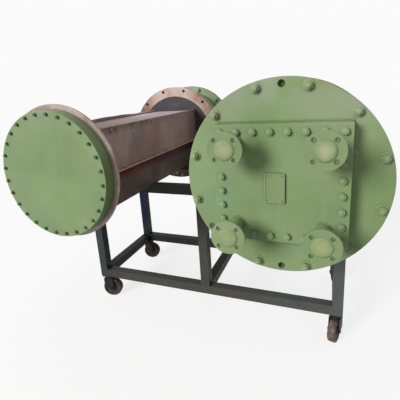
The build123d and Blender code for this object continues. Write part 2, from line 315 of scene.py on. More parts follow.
def green_paint(name, lift=0, corner_tone=(66, 82, 52), corner_reach=0.02, soft_edge=0.002, open_above=0.75):
    """Brushed-on green oil paint: cloudy tone, faint streaks, edges lighter with wear and with painted
    highlight, and dirt with painted shade in corners. It is chalky high up, and faces turned to the right are
    darker with painted shade. Lift makes its main tones lighter."""
    tones = ((124, 149, 98), (137, 160, 110), (148, 171, 124), (138, 154, 100), (126, 158, 118))
    dark, middle, light, yellow, mint = [tuple(value + lift for value in tone) for tone in tones]
    finish = Finish(name)
    tone = finish.ramp(finish.noise(2.9, 3.0), [(0.32, dark), (0.5, middle), (0.68, light)])
    yellowed = finish.noise(4.3, 2.0, shift=(1.3, 0.4, 2.2))
    tone = finish.lay(tone, yellow, yellowed, 0.5, 0.68, 0.65)
    cooler = finish.noise(3.3, 2.0, shift=(4.1, 1.7, 0.6))
    tone = finish.lay(tone, mint, cooler, 0.52, 0.7, 0.6)
    streaks = finish.noise(30.0, 3.0, stretch=(1.6, 1.0, 0.22), shift=(0.4, 0.1, 0.7))
    tone = finish.lay(tone, light, streaks, 0.5, 0.75, 0.25)
    chalk = finish.noise(3.6, 4.0, stretch=(1.0, 1.0, 1.5), shift=(2.3, 1.1, 0.4), twist=0.3)
    high = finish.span(finish.axis("Z"), *CHALK_HEIGHTS, 0.06, 0.95)
    haze = finish.maths("MULTIPLY", finish.span(chalk, 0.4, 0.66), high)
    tone = finish.mix(haze, tone, (164, 172, 150))
    specks = finish.noise(150.0, 2.0)
    tone = finish.lay(tone, (100, 116, 84), specks, 0.68, 0.76, 0.3)
    # Lighter edges: worn paint, and a painted highlight where edges catch the light
    light_edges = finish.maths("MULTIPLY", finish.edges(0.0045), finish.span(chalk, 0.35, 0.6, 0.3, 0.8))
    tone = finish.mix(light_edges, tone, (170, 180, 156))
    # Painted shade: faces turned to the right are darker
    tone = finish.lay(tone, (74, 96, 54), finish.facing("X"), 0.3, 0.85, 0.3)
    # Dirt and painted shade in corners
    finish.colour(finish.shade_and_dirt_in_corners(tone, corner_tone, corner_reach, 0.75, 0.25, open_above))
    finish.gloss(finish.span(streaks, 0.3, 0.7, 0.42, 0.58))
    finish.relief(finish.noise(70.0, 3.0, stretch=(1.4, 1.0, 0.5)), 0.16, 0.0008, soft_edge)
    return finish.material


def metal(name, stops, scale=8.0, stretch=(1, 1, 1), roughness=0.5, metallic=0.4, stain=None,
          edge=0.002, dirt=(40, 34, 30), specular=0.3):
    """Bare, rusted or plainly painted steel, or moulded rubber: tone stops, stains, a finer second tone, dirt
    and painted shade in corners, and light grain."""
    finish = Finish(name, metallic=metallic, specular=specular)
    tone = finish.ramp(finish.noise(scale, 5.0, stretch, twist=0.4), stops)
    if stain:
        patches = finish.noise(scale * 0.6, 4.0, stretch, shift=(3.1, 0.7, 1.9))
        tone = finish.lay(tone, stain, patches, 0.52, 0.7, 0.6)
    fine = finish.noise(scale * 9, 3.0, stretch)
    darkest = stops[0][1]
    tone = finish.lay(tone, darkest, fine, 0.58, 0.8, 0.3)
    # Dirt and painted shade in corners
    finish.colour(finish.shade_and_dirt_in_corners(tone, dirt, 0.03, 0.5))
    finish.gloss(finish.span(fine, 0.3, 0.7, roughness - 0.06, roughness + 0.1))
    finish.relief(finish.noise(110.0, 3.0, stretch), 0.15, 0.0006, edge)
    return finish.material


def ring_steel():
    """Machined ring face: pale and pink near its top, brown at its sides and darker towards the bottom. The
    place across it is counted from the left edge of either bundle's ring."""
    finish = Finish("machined ring face", metallic=0.2)
    shifted = finish.maths("ADD", finish.axis("X"), 2 * HALF_SPACING)
    along = finish.maths("MODULO", shifted, 2 * HALF_SPACING)
    across = finish.span(along, HALF_SPACING - FLANGE_RADIUS, HALF_SPACING + FLANGE_RADIUS)
    drift = finish.maths("ADD", across, finish.span(finish.noise(6.0, 3.0), 0.3, 0.7, -0.2, 0.2))
    stops = [(0.0, (120, 88, 74)), (0.2, (150, 120, 106)), (0.36, (176, 154, 142)), (0.55, (188, 172, 160))]
    stops += [(0.68, (172, 150, 136)), (0.84, (156, 128, 112)), (1.0, (128, 94, 78))]
    tone = finish.ramp(drift, stops)
    low = finish.span(finish.axis("Z"), 0.95, 1.4, 1.0, 0.0)
    tone = finish.mix(low, tone, (62, 42, 34))
    rust = finish.noise(14.0, 5.0, twist=0.6)
    tone = finish.lay(tone, (156, 108, 84), rust, 0.54, 0.7, 0.4)
    bright = finish.noise(22.0, 4.0, shift=(1.0, 2.0, 0.3))
    tone = finish.lay(tone, (212, 194, 180), bright, 0.58, 0.72, 0.5)
    # Dirt and painted shade in the ring's corners
    finish.colour(finish.shade_and_dirt_in_corners(tone, (58, 42, 36), 0.02, 0.7))
    finish.gloss(finish.span(rust, 0.3, 0.7, 0.36, 0.55))
    finish.relief(finish.noise(60.0, 3.0), 0.12, 0.0006, edge=0.002)
    return finish.material


def casing_side(finish):
    """Brown-grey side of the casing: upright tone changes, redder low down, pale foot, and a painted shadow
    under the lip.
    """
    along, height = finish.axis("Y"), finish.axis("Z")
    lip = AXIS_Z + CASING_TOP
    bands = finish.noise(3.4, 4.0, stretch=(1.0, 1.3, 0.6), shift=(0.0, 0.6, 0.0), twist=0.4)
    side = finish.ramp(bands, [(0.3, (150, 124, 114)), (0.5, (178, 149, 140)), (0.7, (202, 178, 170))])
    bluish = finish.noise(3.1, 3.0, stretch=(1.0, 1.2, 0.8), shift=(1.7, 2.1, 0.3))
    side = finish.lay(side, (148, 140, 144), bluish, 0.52, 0.68, 0.5)
    side = finish.mix(finish.span(height, AXIS_Z - 0.04, AXIS_Z + 0.1, 0.55, 0.0), side, (170, 136, 120))
    side = finish.mix(finish.span(height, AXIS_Z - 0.040, AXIS_Z - 0.034, 0.7, 0.0), side, (206, 172, 154))
    side = finish.lay(side, (196, 172, 164), along, -0.3, 0.2, 0.5)
    side = finish.lay(side, (112, 96, 90), along, 0.25, 0.52, 0.5)
    # Painted shadow under the lip, patchy along the bands
    lip_shadow = finish.span(height, lip - 0.045, lip - 0.008, 0.0, 0.55)
    lip_shadow = finish.maths("MULTIPLY", lip_shadow, finish.span(bands, 0.36, 0.6, 0.3, 1.0))
    return finish.mix(lip_shadow, side, (84, 68, 62))


def casing_top(finish, patch):
    """Upward faces of the casing: they pale towards the tube sheet, and the seam flange is pinkish."""
    stops = [(0.0, (104, 82, 72)), (0.3, (134, 110, 100)), (0.5, (150, 129, 126)), (0.68, (182, 164, 164))]
    stops += [(0.8, (214, 198, 202)), (1.0, (226, 212, 216))]
    top = finish.ramp(finish.span(finish.axis("Y"), -0.93, 0.5), stops)
    top = finish.lay(top, (132, 110, 102), patch, 0.5, 0.7, 0.4)
    flange = finish.span(finish.axis("Z"), AXIS_Z - 0.02, AXIS_Z + 0.02, 1.0, 0.0)
    return finish.mix(flange, top, (212, 182, 166))


def casing_marks(finish, tone):
    """Smudges all over, and the left casing's oily marks under its lip and its curved scratch."""
    smudges = finish.noise(16.0, 4.0, stretch=(1.0, 0.7, 1.2), shift=(0.2, 0.9, 0.1), twist=0.8)
    tone = finish.lay(tone, (84, 70, 62), smudges, 0.56, 0.74, 0.22)
    ragged = finish.noise(40.0, 3.0, stretch=(1.0, 0.4, 1.3), twist=0.3)
    for y, z, reach in OILY_MARKS:
        near = finish.span(finish.distance((MARKED_SIDE, y, z)), reach * 0.3, reach, 1.0, 0.0)
        mark = finish.maths("MULTIPLY", near, finish.span(ragged, 0.36, 0.6, 0.0, 0.85))
        tone = finish.mix(mark, tone, (44, 36, 32))
    curve = finish.maths("SUBTRACT", finish.distance(SCRATCH_CENTRE), SCRATCH_RADIUS)
    scratch = finish.span(finish.maths("ABSOLUTE", curve, 0.0), 0.001, 0.006, 0.5, 0.0)
    right_half = finish.span(finish.axis("Y"), SCRATCH_START, SCRATCH_START + 0.015)
    return finish.mix(finish.maths("MULTIPLY", scratch, right_half), tone, (86, 68, 60))


def casing_steel():
    """Folded sheet: streaked sides, a top that pales along it, worn edges and marks."""
    finish = Finish("casing sheet steel", metallic=0.15)
    patch = finish.noise(5.0, 4.0, shift=(0.5, 0.2, 0.0))
    upward = finish.span(finish.facing("Z"), 0.4, 0.7)
    tone = finish.mix(upward, casing_side(finish), casing_top(finish, patch))
    tone = finish.mix(finish.maths("MULTIPLY", finish.edges(0.004), 0.35), tone, (196, 176, 166))
    tone = casing_marks(finish, tone)
    # Dirt and painted shade in the casing's corners
    finish.colour(finish.shade_and_dirt_in_corners(tone, (50, 40, 36), 0.03, 0.6))
    finish.gloss(finish.span(patch, 0.3, 0.7, 0.42, 0.6))
    finish.relief(finish.noise(9.0, 4.0), 0.3, 0.004, edge=0.002)
    return finish.material


def tray_steel():
    """Lower tray of the casing: dark brown sheet, with red primer and a black painted shadow under the seam
    flange. The red is bright near the floating head and fades towards the tube sheet, while the painted
    shadow widens."""
    finish = Finish("casing tray steel", metallic=0.1)
    brown = [(0.3, (90, 73, 62)), (0.5, (108, 90, 78)), (0.72, (126, 108, 96))]
    tone = finish.ramp(finish.noise(4.0, 4.0, (1, 1, 0.5)), brown)
    tone = finish.lay(tone, (76, 58, 48), finish.axis("Y"), -0.65, 0.1, 0.65)
    wander = finish.span(finish.noise(5.0, 2.0, (1, 1, 0.4)), 0.3, 0.7, -0.005, 0.005)
    # Both bands along the seam sit lower towards the tube sheet, so the painted shadow there is wider
    seam_band_drop = finish.span(finish.axis("Y"), -0.8, 0.0, 0.0, 0.020)
    height = finish.maths("ADD", finish.maths("ADD", finish.axis("Z"), wander), seam_band_drop)
    red = finish.mix(finish.span(finish.axis("Y"), -0.7, 0.1), (136, 36, 30), (62, 26, 24))
    tone = finish.lay(tone, red, height, AXIS_Z - 0.098, AXIS_Z - 0.076, 0.95)
    # Painted shadow: a black band under the seam flange
    tone = finish.lay(tone, (34, 20, 19), height, AXIS_Z - 0.060, AXIS_Z - 0.053, 0.92)
    # Dirt and painted shade in the tray's corners
    finish.colour(finish.shade_and_dirt_in_corners(tone, (34, 24, 24), 0.03, 0.5))
    finish.gloss(finish.span(finish.noise(12.0), 0.3, 0.7, 0.45, 0.65))
    finish.relief(finish.noise(10.0, 4.0), 0.25, 0.003, edge=0.002)
    return finish.material


def frame_paint(name, letter, low, high, stops, warm_rail=None, shaded_top=False):
    """Dark frame paint whose tone drifts along one direction, with scuffs, worn edges and a little rust.
    Faces turned right are darker with painted shade, and faces turned up may be too. A bottom rail may have a
    warmer tone of its own, which fades towards both its ends."""
    finish = Finish(name, specular=0.15)
    along = finish.span(finish.axis(letter), low, high)
    drift = finish.maths("ADD", along, finish.span(finish.noise(7.0, 4.0), 0.3, 0.7, -0.12, 0.12))
    tone = finish.ramp(drift, stops)
    if warm_rail:
        rail_top = RAIL_Z + TUBE
        rail = finish.span(finish.axis("Z"), rail_top - 0.004, rail_top + 0.004, 0.8, 0.0)
        rail = finish.maths("MULTIPLY", rail, finish.span(finish.axis("X"), -0.86, -0.7))
        rail = finish.maths("MULTIPLY", rail, finish.span(finish.axis("X"), -0.1, 0.4, 1.0, 0.25))
        tone = finish.mix(rail, tone, warm_rail)
    # Painted shade on faces turned to the right
    tone = finish.lay(tone, (12, 13, 12), finish.facing("X"), 0.7, 0.95, 0.6)
    # Painted shade on faces turned up, which lie under the bundles
    if shaded_top:
        tone = finish.lay(tone, (12, 13, 14), finish.facing("Z"), 0.7, 0.95, 0.6)
    scuffs = finish.noise(40.0, 4.0, stretch=(0.5, 0.5, 1.0), twist=0.5)
    tone = finish.lay(tone, (112, 108, 100), scuffs, 0.62, 0.72, 0.35)
    light_edges = finish.maths("MULTIPLY", finish.edges(0.004), finish.span(scuffs, 0.4, 0.6, 0.05, 0.4))
    tone = finish.mix(light_edges, tone, (128, 126, 118))
    rust = finish.noise(22.0, 5.0, shift=(2.0, 1.0, 3.0))
    tone = finish.lay(tone, (78, 56, 42), rust, 0.64, 0.74, 0.5)
    # Dirt and painted shade in the frame's corners
    finish.colour(finish.shade_and_dirt_in_corners(tone, (20, 20, 20), 0.04, 0.6))
    finish.gloss(finish.span(scuffs, 0.3, 0.7, 0.4, 0.6))
    finish.relief(finish.noise(60.0, 3.0), 0.15, 0.0008, edge=0.004)
    return finish.material


def lid_material():
    """Cream blank that turns green towards its rim, where the paint of the flange runs over it. The lower
    and the left blanks are greener."""
    finish = Finish("cream blank", roughness=0.6)
    uneven = finish.span(finish.noise(34.0, 3.0), 0.3, 0.7, -0.16, 0.16)
    rim = finish.maths("ADD", finish.attribute("rim"), uneven)
    stops = [(0.15, (180, 184, 142)), (0.45, (170, 178, 132))]
    stops += [(0.75, (148, 166, 117)), (0.95, (132, 155, 107))]
    tone = finish.ramp(rim, stops)
    greener = finish.span(finish.axis("Z"), 1.05, 1.4, 0.55, 0.0)
    tone = finish.mix(greener, tone, (150, 166, 112))
    left = finish.span(finish.axis("X"), 0.45, 0.7, 0.4, 0.0)
    finish.colour(finish.mix(left, tone, (146, 166, 114)))
    finish.relief(finish.noise(80.0, 2.0), 0.1, 0.0005)
    return finish.material


# Green paint, and dark fills for holes: painted shade in the open bolt holes, and a dark green on the jacking
# holes' rims
green = green_paint("brushed green paint")
# Nuts take a darker corner tone over more of their sides: dirt, and painted shade about each nut
nut_corner_tone = (38, 52, 28)
green_bolt = green_paint("green paint on nuts", lift=10, corner_tone=nut_corner_tone, soft_edge=0.0006, open_above=0.9)
green_weld = green_paint("green paint on welds", lift=6, corner_reach=0.01, soft_edge=0.0)
plate_paint = green_paint("painted name plate", lift=-1, corner_reach=0.012, soft_edge=0.0006)
dark_green = [(0.3, (64, 84, 52)), (0.5, (88, 110, 72)), (0.7, (126, 150, 104))]
dark_bolt = metal("darkened small bolts", dark_green, 60.0, metallic=0.0, edge=0.0005, dirt=(54, 72, 44))
sunk_green = [(0.3, (46, 62, 36)), (0.5, (58, 76, 45)), (0.7, (74, 94, 58))]
sunk_settings = {"roughness": 0.8, "metallic": 0.0, "edge": 0.0}
sunk = metal("dark green of hole rims", sunk_green, 60.0, dirt=(36, 46, 26), **sunk_settings)
# Painted shade: black fill for the ring flange's open bolt holes
hole_shade_stops = [(0.3, (40, 32, 28)), (0.5, (52, 42, 36)), (0.7, (66, 54, 46))]
hole_shade_black = metal("black painted shade in holes", hole_shade_stops, 60.0, **sunk_settings)

# Steel and gaskets of the bundles
pink = [(0.3, (158, 140, 132)), (0.5, (186, 168, 160)), (0.7, (206, 192, 186))]
turned = metal("turned head flange", pink, 9.0, stain=(146, 120, 110), roughness=0.42, metallic=0.25)
ring_face = ring_steel()
sheet_stops = [(0.3, (50, 47, 54)), (0.5, (61, 56, 62)), (0.7, (78, 70, 73))]
sheet_grey = metal("dark tube sheet", sheet_stops, 5.0, stretch=(0.8, 1.0, 2.0), metallic=0.1)
casing = casing_steel()
tray = tray_steel()
red_stops = [(0.3, (62, 18, 18)), (0.5, (96, 28, 26)), (0.7, (138, 50, 42))]
red_strip = metal("dark red gasket", red_stops, 26.0, roughness=0.7, metallic=0.0)
joint_stops = [(0.3, (76, 84, 64)), (0.5, (94, 100, 80)), (0.7, (114, 116, 98))]
joint_line = metal("gasket edge", joint_stops, 40.0, roughness=0.7, metallic=0.0, dirt=(88, 94, 74))
zinc_stops = [(0.3, (140, 124, 112)), (0.5, (172, 158, 146)), (0.7, (206, 196, 186))]
zinc = metal("zinc screws", zinc_stops, 60.0, metallic=0.3, edge=0.0005)

# Paint and casters of the trolley
# Grey paint of the front frame, darker towards the left as painted shade from the left bundle
grey_shaded_stops = [(0.0, (60, 62, 68)), (0.25, (66, 68, 68)), (0.5, (73, 74, 68))]
grey_shaded_stops += [(0.75, (84, 86, 81)), (1.0, (91, 98, 99))]
front_frame = frame_paint("grey frame paint", "X", -0.95, 0.87, grey_shaded_stops, warm_rail=(80, 76, 70))
# Blue paint of the rear frame, darkened near black as painted shade under the bundles
blue_shaded_stops = [(0.0, (42, 42, 41)), (0.15, (34, 36, 42)), (0.4, (12, 22, 54))]
blue_shaded_stops += [(0.8, (14, 22, 46)), (1.0, (34, 38, 28))]
shaded_rear_frame = frame_paint("blue frame paint with painted shade", "Z", 0.18, 1.0, blue_shaded_stops, shaded_top=True)
black_stops = [(0.0, (20, 21, 19)), (0.5, (28, 30, 27)), (1.0, (36, 38, 34))]
cross_frame = frame_paint("black frame paint", "Y", -0.34, 0.42, black_stops, shaded_top=True)
weld_stops = [(0.3, (38, 40, 40)), (0.5, (52, 54, 54)), (0.7, (70, 72, 70))]
frame_weld = metal("painted frame welds", weld_stops, 40.0, edge=0.0, metallic=0.0)
caster_stops = [(0.3, (28, 24, 23)), (0.5, (42, 37, 35)), (0.7, (62, 55, 52))]
caster_steel = metal("caster steel", caster_stops, 30.0, stain=(50, 36, 32), metallic=0.1, specular=0.2)
brown_stops = [(0.3, (78, 64, 56)), (0.5, (106, 91, 81)), (0.7, (134, 118, 106))]
dull = {"roughness": 0.62, "metallic": 0.0}
wheel_brown = metal("moulded brown wheel", brown_stops, 34.0, stain=(70, 60, 54), **dull)
old_rubber = {"roughness": 0.6, "metallic": 0.0, "specular": 0.2}
# Black rubber of the rear wheels, darker still as painted shade under the trolley
dark_shaded_stops = [(0.3, (32, 24, 24)), (0.5, (48, 38, 38)), (0.7, (74, 62, 60))]
shaded_black_wheel = metal("moulded black wheel", dark_shaded_stops, 34.0, stain=(64, 42, 40), **old_rubber)
worn_stops = [(0.3, (50, 40, 39)), (0.5, (72, 61, 59)), (0.7, (98, 85, 82))]
wheel_worn = metal("moulded worn wheel", worn_stops, 34.0, stain=(84, 66, 62), **old_rubber)


def clear_selection():
    """Nothing selected and nothing active, so that an operator acts on new work only."""
    bpy.ops.object.select_all(action="DESELECT")
    bpy.context.view_layer.objects.active = None


def active():
    return bpy.context.view_layer.objects.active


def pick(*pieces):
    """Select these pieces and make the first one active."""
    clear_selection()
    for piece in pieces:
        piece.select_set(True)
    bpy.context.view_layer.objects.active = pieces[0]


def settle(piece):
    """Put the piece's place into its mesh, so that its object sits at the origin."""
    pick(piece)
    bpy.ops.object.transform_apply(location=True, rotation=True, scale=True)


def copies(pattern, places, name):
    """Copy a pattern to each place, a 4x4 matrix, and join the copies as one piece."""
    made = []
    for place in places:
        copy = pattern.copy()
        copy.data = pattern.data.copy()
        bpy.context.collection.objects.link(copy)
        copy.data.transform(place)
        made.append(copy)
    pick(*made)
    if len(made) > 1:
        bpy.ops.object.join()
    piece = active()
    piece.name = name
    piece.data.name = name
    return piece


def remove(*patterns):
    """Take patterns away once their copies are made."""
    pick(*patterns)
    bpy.ops.object.delete()


def finish_piece(piece, material, body="trolley"):
    """Give a piece its material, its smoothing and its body."""
    piece.data.materials.clear()
    piece.data.materials.append(material)
    pick(piece)
    bpy.ops.object.shade_smooth_by_angle(angle=SMOOTH_ANGLE)
    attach(piece, body)
    return piece


def at_bundle(side, place):
    """A place in a bundle's own directions, turned and moved to that bundle on the trolley."""
    if side == "left":
        return Matrix.Translation((-HALF_SPACING, 0, AXIS_Z)) @ place
    return Matrix.Translation((HALF_SPACING, 0, AXIS_Z)) @ Matrix.Rotation(math.pi, 4, "Z") @ place


def on_both(pattern, places, name, material):
    """Set the same pieces on both bundles, each bundle's as one piece."""
    for side in ("left", "right"):
        piece = copies(pattern, [at_bundle(side, place) for place in places], f"{side}_{name}")
        finish_piece(piece, material)


def on_circle(radius, count, start, y, turn):
    """Places evenly round a circle about the bundle's axis, each nut turned by its own angle."""
    places = []
    for step in range(count):
        angle = math.radians(start + step * 360 / count)
        spot = Matrix.Translation((radius * math.sin(angle), y, radius * math.cos(angle)))
        places.append(spot @ turn @ Matrix.Rotation(random.uniform(0, 1), 4, "Z"))
    return places


def soften_sharp(offset, segments=2):
    """Bevel the sharp edges of the active piece."""
    bpy.ops.object.mode_set(mode="EDIT")
    bpy.ops.mesh.select_mode(type="EDGE")
    bpy.ops.mesh.select_all(action="DESELECT")
    bpy.ops.mesh.edges_select_sharp(sharpness=math.radians(40))
    bpy.ops.mesh.bevel(offset=offset, segments=segments)
    bpy.ops.object.mode_set(mode="OBJECT")


def turned_disc(radius, low, high, sides, softening):
    """A short round piece along +Z, with rims that are softened by a width."""
    clear_selection()
    middle = (0, 0, (low + high) / 2)
    bpy.ops.mesh.primitive_cylinder_add(vertices=sides, radius=radius, depth=high - low, location=middle)
    soften_sharp(softening)
    settle(active())
    return active()


def select_faces(piece, test):
    """Go into edit mode with the faces selected whose centre and normal pass the test."""
    pick(piece)
    bpy.ops.object.mode_set(mode="EDIT")
    bpy.ops.mesh.select_mode(type="FACE")
    bpy.ops.mesh.select_all(action="DESELECT")
    bpy.ops.object.mode_set(mode="OBJECT")
    for face in piece.data.polygons:
        face.select = test(face.center, face.normal)
    bpy.ops.object.mode_set(mode="EDIT")


def sink_top(piece, border, depth):
    """Sink the flat top of a round piece, inside a border."""
    select_faces(piece, lambda centre, normal: normal.z > 0.99)
    bpy.ops.mesh.inset(thickness=border)
    bpy.ops.mesh.inset(thickness=0.0006)
    bpy.ops.transform.translate(value=(0, 0, -depth))
    bpy.ops.object.mode_set(mode="OBJECT")


def hex_nut(across, height, washer, stud=None):
    """A hexagon nut or bolt head on its washer, with a chamfered top, along +Z from z = 0. A washer is a
    radius and a height, and the stud's end that may stand out of a nut is a radius and a length."""
    washer_radius, washer_height = washer
    parts = [turned_disc(washer_radius, 0.0, washer_height, 28, washer_height * 0.35)]
    clear_selection()
    radius = across / math.sqrt(3)
    middle = (0, 0, washer_height + height / 2)
    bpy.ops.mesh.primitive_cylinder_add(vertices=6, radius=radius, depth=height, location=middle)
    nut = active()
    select_faces(nut, lambda centre, normal: normal.z > 0.9)
    bpy.ops.mesh.inset(thickness=across * 0.06)
    bpy.ops.transform.translate(value=(0, 0, across * 0.04))
    bpy.ops.object.mode_set(mode="OBJECT")
    soften_sharp(across * 0.03)
    parts.append(nut)
    if stud:
        stud_radius, stud_length = stud
        top = washer_height + height
        parts.append(turned_disc(stud_radius, top - height / 2, top + stud_length, 18, stud_radius * 0.22))
    pick(*reversed(parts))
    bpy.ops.object.join()
    settle(active())
    return active()


def cover_bolt_places():
    """Places round the edge of the square cover, eight to a side with the corners shared."""
    places = []
    steps = BOLTS_PER_SIDE - 1
    for step in range(steps):
        x = (step / steps - 0.5) * BOLT_SPAN_X
        z = (step / steps - 0.5) * BOLT_SPAN_Z
        sides = ((x, BOLT_SPAN_Z / 2), (BOLT_SPAN_X / 2, -z), (-x, -BOLT_SPAN_Z / 2), (-BOLT_SPAN_X / 2, z))
        for side_x, side_z in sides:
            spin = Matrix.Rotation(random.uniform(0, 1), 4, "Z")
            places.append(Matrix.Translation((side_x, COVER_FACE, side_z)) @ FACING_DISC @ spin)
    return places


def weld_drop(radius):
    """One flattened drop of a weld bead, which later drops overlap."""
    clear_selection()
    bpy.ops.mesh.primitive_uv_sphere_add(segments=8, ring_count=5, radius=radius)
    bpy.ops.object.mode_set(mode="EDIT")
    bpy.ops.mesh.select_all(action="SELECT")
    bpy.ops.transform.resize(value=(1.0, 0.75, 1.0))
    bpy.ops.object.mode_set(mode="OBJECT")
    return active()


def bead_line(start, end, pitch):
    """Places of the drops of a straight bead, a little uneven in size."""
    start, end = Vector(start), Vector(end)
    count = max(2, round((end - start).length / pitch))
    along = (end - start).to_track_quat("Y", "Z").to_matrix().to_4x4()
    places = []
    for step in range(count + 1):
        spot = start.lerp(end, step / count)
        size = random.uniform(0.85, 1.15)
        places.append(Matrix.Translation(spot) @ along @ Matrix.Scale(size, 4))
    return places


def bead_circle(radius, y, x, z, pitch):
    """Places of the drops of a bead round an axis along Y."""
    count = round(2 * math.pi * radius / pitch)
    places = []
    for step in range(count):
        angle = 2 * math.pi * step / count
        spot = Vector((x + radius * math.sin(angle), y, z + radius * math.cos(angle)))
        turn = Matrix.Rotation(angle, 4, "Y") @ Matrix.Rotation(math.radians(-90), 4, "Z")
        places.append(Matrix.Translation(spot) @ turn @ Matrix.Scale(random.uniform(0.85, 1.15), 4))
    return places


def thin_ring(radius, low, high):
    """A narrow disc about the bundle's axis, between two places along Y. Only its rim shows."""
    clear_selection()
    bpy.ops.mesh.primitive_cylinder_add(
        vertices=128,
        radius=radius,
        depth=high - low,
        rotation=(math.radians(90), 0, 0),
        location=(0, (low + high) / 2, 0),
    )
    settle(active())
    soften_sharp((high - low) * 0.3)
    return active()


def dress(node, material):
    """Give a CAD node its material."""
    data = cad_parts[node].data
    data.materials.clear()
    data.materials.append(material)


# Finishes of the CAD nodes
bundle_finishes = {
    "end_disc": green, "header_drum": green, "channel_flange": green, "water_box": green, "box_cover": green,
    "nozzles": green, "head_cover": green, "ring_flange": ring_face, "tubesheet": sheet_grey,
    "casing_top": casing, "casing_sides": casing, "casing_tray": tray, "head_flange": turned,
}
for side in ("left", "right"):
    for node, material in bundle_finishes.items():
        dress(f"{side}_{node}", material)
dress("seam_gaskets", red_strip)
frame_finishes = {"front": front_frame, "rear": shaded_rear_frame}
wheel_finishes = {"wheel_front_right": wheel_brown, "wheel_front_left": wheel_worn}
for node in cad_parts:
    if node.endswith("cross_rails"):
        dress(node, cross_frame)
    elif node.endswith(("_legs", "_rail", "_rails")):
        dress(node, frame_finishes[node.split("_")[0]])
    elif node.startswith("fork_") or node == "caster_plates":
        dress(node, caster_steel)
    elif node.startswith("wheel_"):
        dress(node, wheel_finishes.get(node, shaded_black_wheel))

# Nuts and bolts of the bundles
disc_nut = hex_nut(across=0.030, height=0.015, washer=(0.0235, 0.004), stud=(0.0100, 0.008))
cover_nut = hex_nut(across=0.025, height=0.012, washer=(0.0155, 0.003), stud=(0.0075, 0.004))
head_bolt = hex_nut(across=0.0145, height=0.009, washer=(0.0095, 0.0015))
half_pitch = 180 / FLANGE_BOLTS
front = on_circle(FLANGE_BOLT_RADIUS, FLANGE_BOLTS, half_pitch, DISC_FACE, FACING_DISC)
back = on_circle(FLANGE_BOLT_RADIUS, FLANGE_BOLTS, half_pitch, CHANNEL_FLANGE_BACK, FACING_HEAD)
on_both(disc_nut, front + back, "disc_nuts", green_bolt)
on_both(cover_nut, cover_bolt_places(), "cover_nuts", green_bolt)
head_places = on_circle(HEAD_BOLT_RADIUS, HEAD_BOLTS, 180 / HEAD_BOLTS, HEAD_FACE, FACING_HEAD)
on_both(head_bolt, head_places, "head_bolts", dark_bolt)
remove(disc_nut, cover_nut, head_bolt)

# Screws along the casing's lip and seam
screw = hex_nut(across=0.013, height=0.006, washer=(0.009, 0.0015))
lip_z = CASING_TOP - 0.017
lip_screws, seam_screws, tray_screws = [], [], []
for turn, sign in ((FACING_RIGHT, 1), (FACING_LEFT, -1)):
    for y in LIP_SCREWS:
        lip_screws.append(Matrix.Translation((sign * (CASING_HALF + LIP_SHEET), y, lip_z)) @ turn)
    x = sign * (SEAM_EDGE - SCREW_INSET)
    for step in range(SEAM_SCREWS):
        y = SEAM_SCREW_START + SEAM_SCREW_PITCH * step
        seam_screws.append(Matrix.Translation((x, y, SEAM_TOP)))
        tray_screws.append(Matrix.Translation((x, y, SEAM_BOTTOM)) @ FACING_DOWN)
on_both(screw, lip_screws, "lip_screws", zinc)
on_both(screw, seam_screws, "seam_screws", casing)
on_both(screw, tray_screws, "tray_screws", tray)
remove(screw)


def bent_lip():
    """Loose edge of the top sheet on the far side, a little wavy and bent up most near the floating head."""
    clear_selection()
    length = CASING_END - HEAD_FLANGE_BACK - 2 * LIP_END_GAP
    middle = (CASING_END + HEAD_FLANGE_BACK) / 2
    bpy.ops.mesh.primitive_cube_add(size=1, location=(-CASING_HALF - LIP_SHEET / 2, middle, CASING_TOP))
    piece = active()
    piece.scale = (LIP_SHEET, length, LIP_STRIP)
    settle(piece)
    select_faces(piece, lambda centre, normal: abs(normal.x) > 0.9 or abs(normal.z) > 0.9)
    bpy.ops.mesh.subdivide(number_cuts=23)
    bpy.ops.object.mode_set(mode="OBJECT")
    for vertex in piece.data.vertices:
        if vertex.co.z > CASING_TOP + 0.001:
            along = (vertex.co.y - HEAD_FLANGE_BACK) / length
            waves = 0.0025 * math.sin(14 * along) + 0.0015 * math.sin(31 * along)
            rise = 0.020 - 0.013 * along + waves
            lean = 0.004 + 0.003 * math.sin(9 * along)
            share = (vertex.co.z - CASING_TOP) / (LIP_STRIP / 2)
            vertex.co.z = CASING_TOP + share * rise
            vertex.co.x -= share * lean
    soften_sharp(0.0006, 1)
    return piece


lip = bent_lip()
on_both(lip, [Matrix.Identity(4)], "bent_lip", casing)
remove(lip)

# Gasket lines between bolted faces
head_gasket = thin_ring(HEAD_RADIUS + 0.0006, HEAD_JOINT - 0.0025, HEAD_JOINT + 0.0005)
on_both(head_gasket, [Matrix.Identity(4)], "head_gasket", joint_line)
disc_gasket = thin_ring(FLANGE_RADIUS + 0.0008, DISC_BACK - 0.0015, DISC_BACK + 0.0015)
on_both(disc_gasket, [Matrix.Identity(4)], "disc_gasket", joint_line)
remove(head_gasket, disc_gasket)


def nozzle_lid():
    """Slightly domed blank with a rounded edge, with a mesh value that rises from 0 at its middle to 1 at
    its rim."""
    clear_selection()
    bpy.ops.mesh.primitive_uv_sphere_add(segments=48, ring_count=40, radius=LID_RADIUS)
    lid = active()
    bpy.ops.object.mode_set(mode="EDIT")
    bpy.ops.mesh.select_all(action="SELECT")
    bpy.ops.mesh.bisect(plane_co=(0, 0, 0), plane_no=(0, 0, 1), clear_inner=True, use_fill=True)
    bpy.ops.object.mode_set(mode="OBJECT")
    rim = lid.data.attributes.new("rim", "FLOAT", "POINT")
    for vertex, value in zip(lid.data.vertices, rim.data):
        share = min(1.0, vertex.co.xy.length / LID_RADIUS)
        value.value = share
        if vertex.co.z > 0.0001:
            vertex.co.z = LID_HEIGHT * (0.35 * (1 - share ** 2) + 0.65 * (1 - share ** 12))
    return lid


